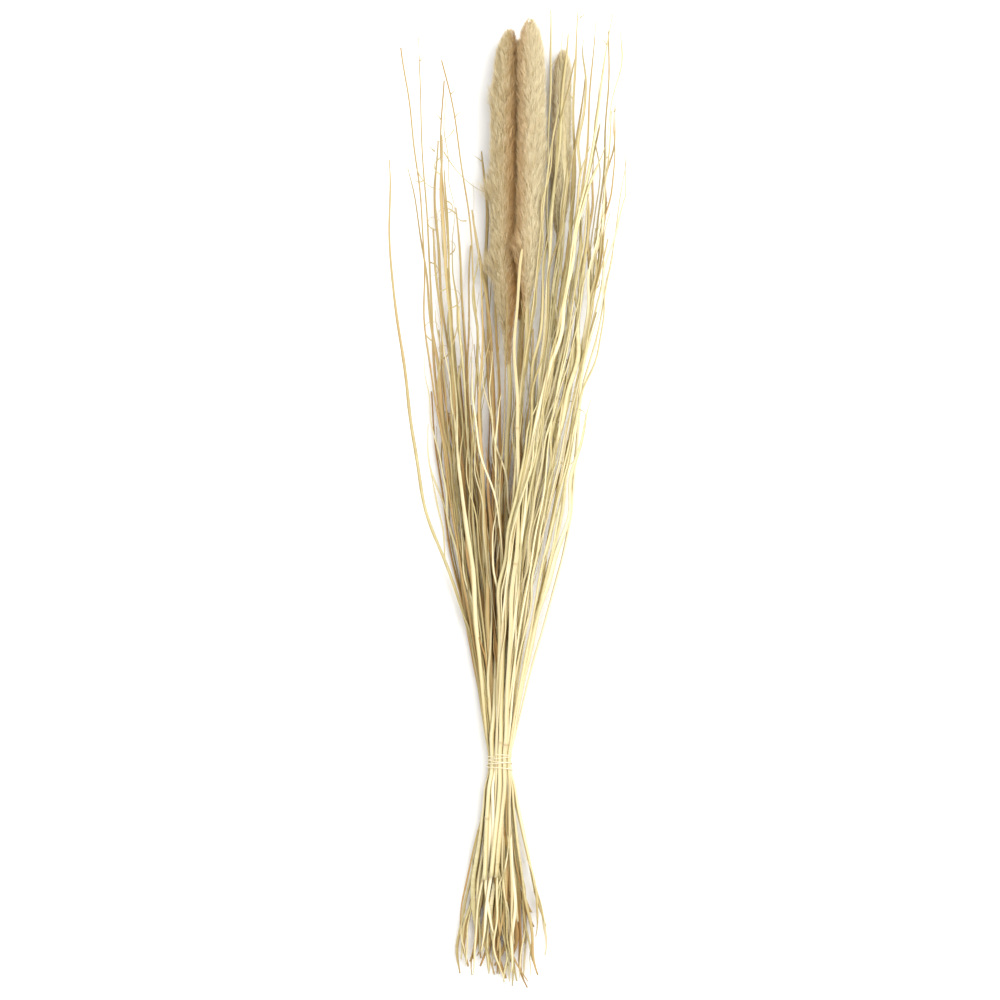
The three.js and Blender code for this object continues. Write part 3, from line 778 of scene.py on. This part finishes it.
def loose_blades(shape, rng, names, count, lengths, starts, drift, half_width, tones, lift):
    """Thin dry leaves that follow the named stems for a way and drift off them."""
    for _ in range(count):
        centres, _ = rings_of(rng.choice(names), STRAND_SIDES)
        start = rng.uniform(*starts) + WAIST[1]
        end = min(start + rng.uniform(*lengths), CAD_BOX[1][1] - 4 * MM)
        y = np.arange(start, end, 8 * MM)
        if len(y) < 6:
            continue
        base = np.stack([np.interp(y, centres[:, 1], centres[:, i]) for i in range(3)], axis=1)
        slope = (centres[-1] - centres[-2]) / (centres[-1] - centres[-2])[1]
        base += np.maximum(0, y - centres[-1, 1])[:, None] * slope
        base[:, 1] = y
        share = smooth((y - y[0]) / (y[-1] - y[0]))
        away = rng.normal(0, drift) * share + wander(rng, y, 0.15) * 3.2 * MM * np.minimum(1, share * 3)
        for bend in rng.uniform(y[0], y[-1], 2):
            away += np.maximum(0, y - bend) * rng.normal(0, 0.035)
        rise = rng.normal(lift, 0.5) * drift * share + wander(rng, y, 0.2) * 1 * MM
        path = base + np.stack([away, np.zeros(len(y)), rise], axis=1)
        path[:, 0] = np.clip(path[:, 0], CAD_BOX[0][0] + 3 * MM, CAD_BOX[1][0] - 3 * MM)
        path[:, 2] = np.clip(path[:, 2], half_width, CAD_BOX[1][2] - 2 * MM)
        s = distances(path)
        wide = half_width * rng.uniform(0.7, 1.25) * (1 - 0.5 * share**3) * smooth(s / (15 * MM) + 0.3)
        wide = wide * smooth((s[-1] - s) / (45 * MM) + 0.2)
        wide = np.maximum(wide, 0.4 * MM)
        across = (path[-1, 0] - WAIST[0]) / FAN_REACH
        tone = rng.uniform(*tones) + 0.12 * across - rng.uniform(0, 0.4) * share**3
        tone -= 0.22 * smooth((y - WAIST[1] - 250 * MM) / (260 * MM))
        turn = s * rng.uniform(-14, 14) + rng.uniform(0, 3)
        shape.sweep(path, wide, wide * 0.22, turn, np.clip(tone, tones[0], 1), sides=6, fold=0.5)


class FOXTAIL_OT_blades(bpy.types.Operator):
    """Make the thin loose blades among the stems"""

    bl_idname = "foxtail.blades"
    bl_label = "Loose blades"

    def execute(self, context):
        look = context.scene.foxtail_straw
        material = straw_material(look)
        inner = [name for name in STEMS if "outer" not in name]
        left, middle, right, under = ([name for name in inner if name.startswith(key)]
                                      for key in ("left", "middle", "right", "under"))
        tall = ["right_tall_stem", "right_crossing_stem", "right_bowed_stem", "right_forked_stem",
                "right_broad_blade"]
        rng = np.random.default_rng(300)
        # Of each kind: the stems it follows, how many, lengths, starts, drift and half width in millimetres,
        # tones, and how much it rises as it drifts.
        groups = {
            "left": [(left, 18, (200, 470), (20, 240), 11, 1.3, (0.25, 0.85), 0.3),
                     (left, 9, (230, 340), (8, 60), 7, 2.0, (0.3, 0.8), 0.2)],
            # The first kind are dark brown blades laid low in the hollow between the left and right stems:
            # painted shade of that hollow.
            "inner": [(middle + under, 30, (170, 280), (8, 90), 9, 2.6, (0.0, 0.14), -0.3),
                      (middle, 16, (200, 420), (20, 200), 10, 1.3, (0.3, 0.8), 0.2)],
            "tall": [(tall, 12, (300, 460), (150, 330), 9, 2.7, (0.25, 0.9), 0.5),
                     (["right_tall_stem", "crossing_blade"], 3, (220, 330), (330, 420), 6, 2.2,
                      (0.12, 0.2), 0.5)],
            "crossing": [(left[:6] + middle, 12, (200, 320), (60, 190), 26, 1.5, (0.6, 1.0), 0.5)],
            "right": [(right, 32, (220, 480), (20, 260), 11, 1.3, (0.3, 0.9), 0.3),
                      (right, 18, (230, 340), (8, 60), 7, 2.1, (0.45, 0.9), 0.2)],
            "foot": [(right + left + middle, 40, (50, 140), (-222, -120), 8, 1.3, (0.2, 0.9), 0.1),
                     # The second kind are dark brown blades laid low among the foot's strands: painted shade
                     # between them.
                     (under + middle, 12, (110, 160), (-190, -125), 4, 2.2, (0.0, 0.2), -0.6)],
        }
        for name, kinds in groups.items():
            shape = Shape()
            for names, count, lengths, starts, drift, half_width, tones, lift in kinds:
                lengths, starts = (tuple(value * MM for value in pair) for pair in (lengths, starts))
                loose_blades(shape, rng, names, count, lengths, starts, drift * MM, half_width * MM,
                             tones, lift)
            put(shape.make(f"loose_blades_{name}", [material]), "straw")
        return {"FINISHED"}


# Tendrils and twigs: where each springs from, in millimetres across and along from the binding's middle,
# the way it sets off in degrees from +Y towards +X, its length in millimetres, and how many degrees it turns.
TENDRILS = [
    ((-28, 633), -150, 26, 60), ((-86, 594), 160, 48, -110), ((-55, 612), 150, 85, -60),
    ((-35, 541), 250, 16, 120), ((108, 370), -140, 45, 170), ((-66, 420), -60, 38, 230),
    ((-60, 402), 60, 30, -260), ((-45, 290), 100, 30, 240), ((68, 400), -70, 42, -230),
    ((72, 352), 80, 34, 250), ((58, 340), -100, 30, 150), ((-70, 500), 100, 26, 200),
    ((-62, 532), -80, 30, 260), ((-48, 507), 60, 28, -240), ((-55, 562), 110, 24, 220),
    ((-45, 547), -40, 34, -200), ((-70, 582), -120, 22, 250), ((-66, 470), 80, 36, -250),
    ((-40, 640), 20, 20, 120), ((-58, 585), -60, 30, 230), ((-52, 452), 70, 34, -190),
    ((60, 300), 120, 28, -200), ((-40, 350), -110, 36, 200), ((86, 470), 60, 30, -210),
]
TWIGS = [
    ((53, 690), 25, 14, 10), ((88, 742), 60, 16, 8), ((104, 712), -35, 14, -10),
    ((111, 648), 40, 9, 12), ((-62, 640), -35, 16, -15), ((-67, 600), 40, 14, 10),
    ((-64, 610), -50, 12, 12), ((-20, 600), -55, 12, 5), ((-80, 700), 35, 12, 5),
    ((-48, 665), 45, 14, -8), ((76, 660), -40, 12, 8), ((100, 600), 45, 13, -10),
]


def curl(shape, start, bearing, size, turn, rng, half_width):
    """One thin tendril or twig that springs from the stem nearest to start and curls as it goes."""
    x, y = (value * MM for value in start)
    stems = guide_at(y)
    nearest = stems[np.abs(stems[:, 0] - WAIST[0] - x).argmin()]
    steps = max(8, int(size / 2))
    heading = np.radians(bearing + turn * np.linspace(0, 1, steps) ** 1.5)
    stride = size * MM / steps
    path = np.empty((steps, 3))
    path[:, 0] = nearest[0] + np.cumsum(np.sin(heading)) * stride
    path[:, 1] = y + WAIST[1] + np.cumsum(np.cos(heading)) * stride
    path[:, 2] = nearest[1] + np.linspace(0, 1, steps) * rng.uniform(-2, 6) * MM
    path[:, 2] = np.clip(path[:, 2], 1 * MM, CAD_BOX[1][2] - 1 * MM)
    taper = half_width * (1 - 0.7 * np.linspace(0, 1, steps))
    shape.sweep(path, taper, taper * 0.55, np.linspace(0, 2, steps), float(rng.uniform(0.18, 0.5)), sides=6)


class FOXTAIL_OT_tendrils(bpy.types.Operator):
    """Make the curled tendrils and the short twigs"""

    bl_idname = "foxtail.tendrils"
    bl_label = "Tendrils and twigs"

    def execute(self, context):
        material = straw_material(context.scene.foxtail_straw)
        for name, places, width in (("tendrils", TENDRILS, 0.7 * MM), ("twigs", TWIGS, 0.7 * MM)):
            rng = np.random.default_rng(len(places))
            shape = Shape()
            for start, bearing, size, turn in places:
                curl(shape, start, bearing, size, turn, rng, width)
            put(shape.make(name, [material]), "straw")
        return {"FINISHED"}


WRAPS = (  # of each wrap: turns, its first and last place along the binding from -1 to 1, and its bearing
    (1.5, 0.9, -0.2, 3.3), (1.0, 0.5, 0.7, 2.0), (1.0, -0.3, 0.3, 4.2), (1.0, 0.0, -0.6, 1.0),
    (1.5, -0.8, 0.1, 5.0))


class FOXTAIL_OT_binding(bpy.types.Operator):
    """Make the twine wound round the waist"""

    bl_idname = "foxtail.binding"
    bl_label = "Binding"

    def execute(self, context):
        material = cord_material(context.scene.foxtail_binding)
        low, high = (np.array(corner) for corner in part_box("binding"))
        shape = Shape()
        for i, (turns, begin, finish, bearing) in enumerate(WRAPS):
            share = np.linspace(0, 1, int(turns * 60) + 1)
            angle = 2 * math.pi * turns * share + bearing
            reach = (high[0] - low[0]) / 2 - (0.95 - 0.06 * i) * MM
            along = WAIST[1] + (begin + (finish - begin) * share) * (high[1] - low[1]) * 0.95
            across, up = WAIST[0] + reach * np.cos(angle), WAIST[2] + reach * np.sin(angle)
            path = np.stack([across, along, up], axis=1)
            side, _ = frames_along(path)
            outward = np.stack([np.cos(angle), np.zeros_like(angle), np.sin(angle)], axis=1)
            tangent = unit(np.gradient(path, axis=0))
            turned = np.einsum("ij,ij->i", np.cross(side, outward), tangent)
            roll = np.arctan2(turned, np.einsum("ij,ij->i", side, outward)) + math.pi / 2
            path[:, 1] += wander(np.random.default_rng(i), distances(path), 0.06) * 0.5 * MM
            wide = np.full(len(path), 0.5 * MM)
            shape.sweep(path, wide, wide * 0.35, -roll, 0.85, sides=8)
        put(shape.make("twine_binding", [material]), "binding", "binding")
        return {"FINISHED"}


class FOXTAIL_OT_stage(bpy.types.Operator):
    """Make the floor, the lights and the camera"""

    bl_idname = "foxtail.stage"
    bl_label = "Stage"

    def execute(self, context):
        look = context.scene.foxtail_stage
        mesh = bpy.data.meshes.new("floor")
        half = 6.0
        corners = [(-half, -half, 0), (half, -half, 0), (half, half, 0), (-half, half, 0)]
        mesh.from_pydata(corners, [], [(0, 1, 2, 3)])
        nodes = Nodes("pale_floor")
        mesh.materials.append(nodes.finish(Base_Color=look.floor, Roughness=0.9, Specular_IOR_Level=0.1))
        floor = bpy.data.objects.new("floor", mesh)
        context.scene.collection.objects.link(floor)
        self.lamp("key", (1.05, 0.6, 2.1), look.key, 1.9)
        self.lamp("fill", (-1.4, 0.2, 2.1), look.key * 0.16, 1.6)
        world = context.scene.world or bpy.data.worlds.new("sky")
        context.scene.world = world
        world.use_nodes = True
        world.node_tree.nodes["Background"].inputs["Color"].default_value = (1, 1, 1, 1)
        world.node_tree.nodes["Background"].inputs["Strength"].default_value = look.sky
        camera = bpy.data.cameras.new("camera")
        camera.lens = look.lens
        camera.sensor_width = 36
        camera.clip_end = 50
        eye = bpy.data.objects.new("camera", camera)
        height = look.field * look.lens / camera.sensor_width + WAIST[2]
        eye.location = (WAIST[0], WAIST[1] + 262 * MM, height)
        context.scene.collection.objects.link(eye)
        context.scene.camera = eye
        context.scene.view_settings.view_transform = "Standard"
        return {"FINISHED"}

    def lamp(self, name, place, power, size):
        """A square soft light aimed at the bundle's middle."""
        light = bpy.data.lights.new(name, "AREA")
        light.energy = power
        light.size = size
        obj = bpy.data.objects.new(name, light)
        obj.location = place
        aim = -np.array(place)
        tilt = math.acos(-aim[2] / np.linalg.norm(aim))
        obj.rotation_euler = (tilt, 0, math.atan2(aim[1], aim[0]) - math.pi / 2)
        bpy.context.scene.collection.objects.link(obj)


PIECES = (FOXTAIL_OT_stems, FOXTAIL_OT_plumes, FOXTAIL_OT_blades, FOXTAIL_OT_tendrils, FOXTAIL_OT_binding,
          FOXTAIL_OT_stage)


class FOXTAIL_PT_panel(bpy.types.Panel):
    """The bundle's settings and the operators that make it"""

    bl_idname = "FOXTAIL_PT_panel"
    bl_label = "Dried foxtail bundle"
    bl_space_type = "VIEW_3D"
    bl_region_type = "UI"
    bl_category = "Foxtail"

    def draw(self, context):
        for group in SETTINGS:
            settings = getattr(context.scene, group)
            for key in settings.bl_rna.properties.keys():
                if key not in ("rna_type", "name"):
                    self.layout.prop(settings, key)
        for piece in PIECES:
            self.layout.operator(piece.bl_idname)


SETTINGS = {
    "foxtail_straw": FoxtailStraw,
    "foxtail_plume": FoxtailPlume,
    "foxtail_binding": FoxtailBinding,
    "foxtail_stage": FoxtailStage,
}


def register():
    for cls in (*SETTINGS.values(), *PIECES, FOXTAIL_PT_panel):
        bpy.utils.register_class(cls)
    for name, cls in SETTINGS.items():
        setattr(bpy.types.Scene, name, PointerProperty(type=cls))


def unregister():
    for name in SETTINGS:
        delattr(bpy.types.Scene, name)
    for cls in (FOXTAIL_PT_panel, *reversed(PIECES), *reversed(SETTINGS.values())):
        bpy.utils.unregister_class(cls)


def main():
    register()
    bpy.ops.foxtail.stems()
    bpy.ops.foxtail.plumes()
    bpy.ops.foxtail.blades()
    bpy.ops.foxtail.tendrils()
    bpy.ops.foxtail.binding()
    bpy.ops.foxtail.stage()


if __name__ == "__main__":
    main()
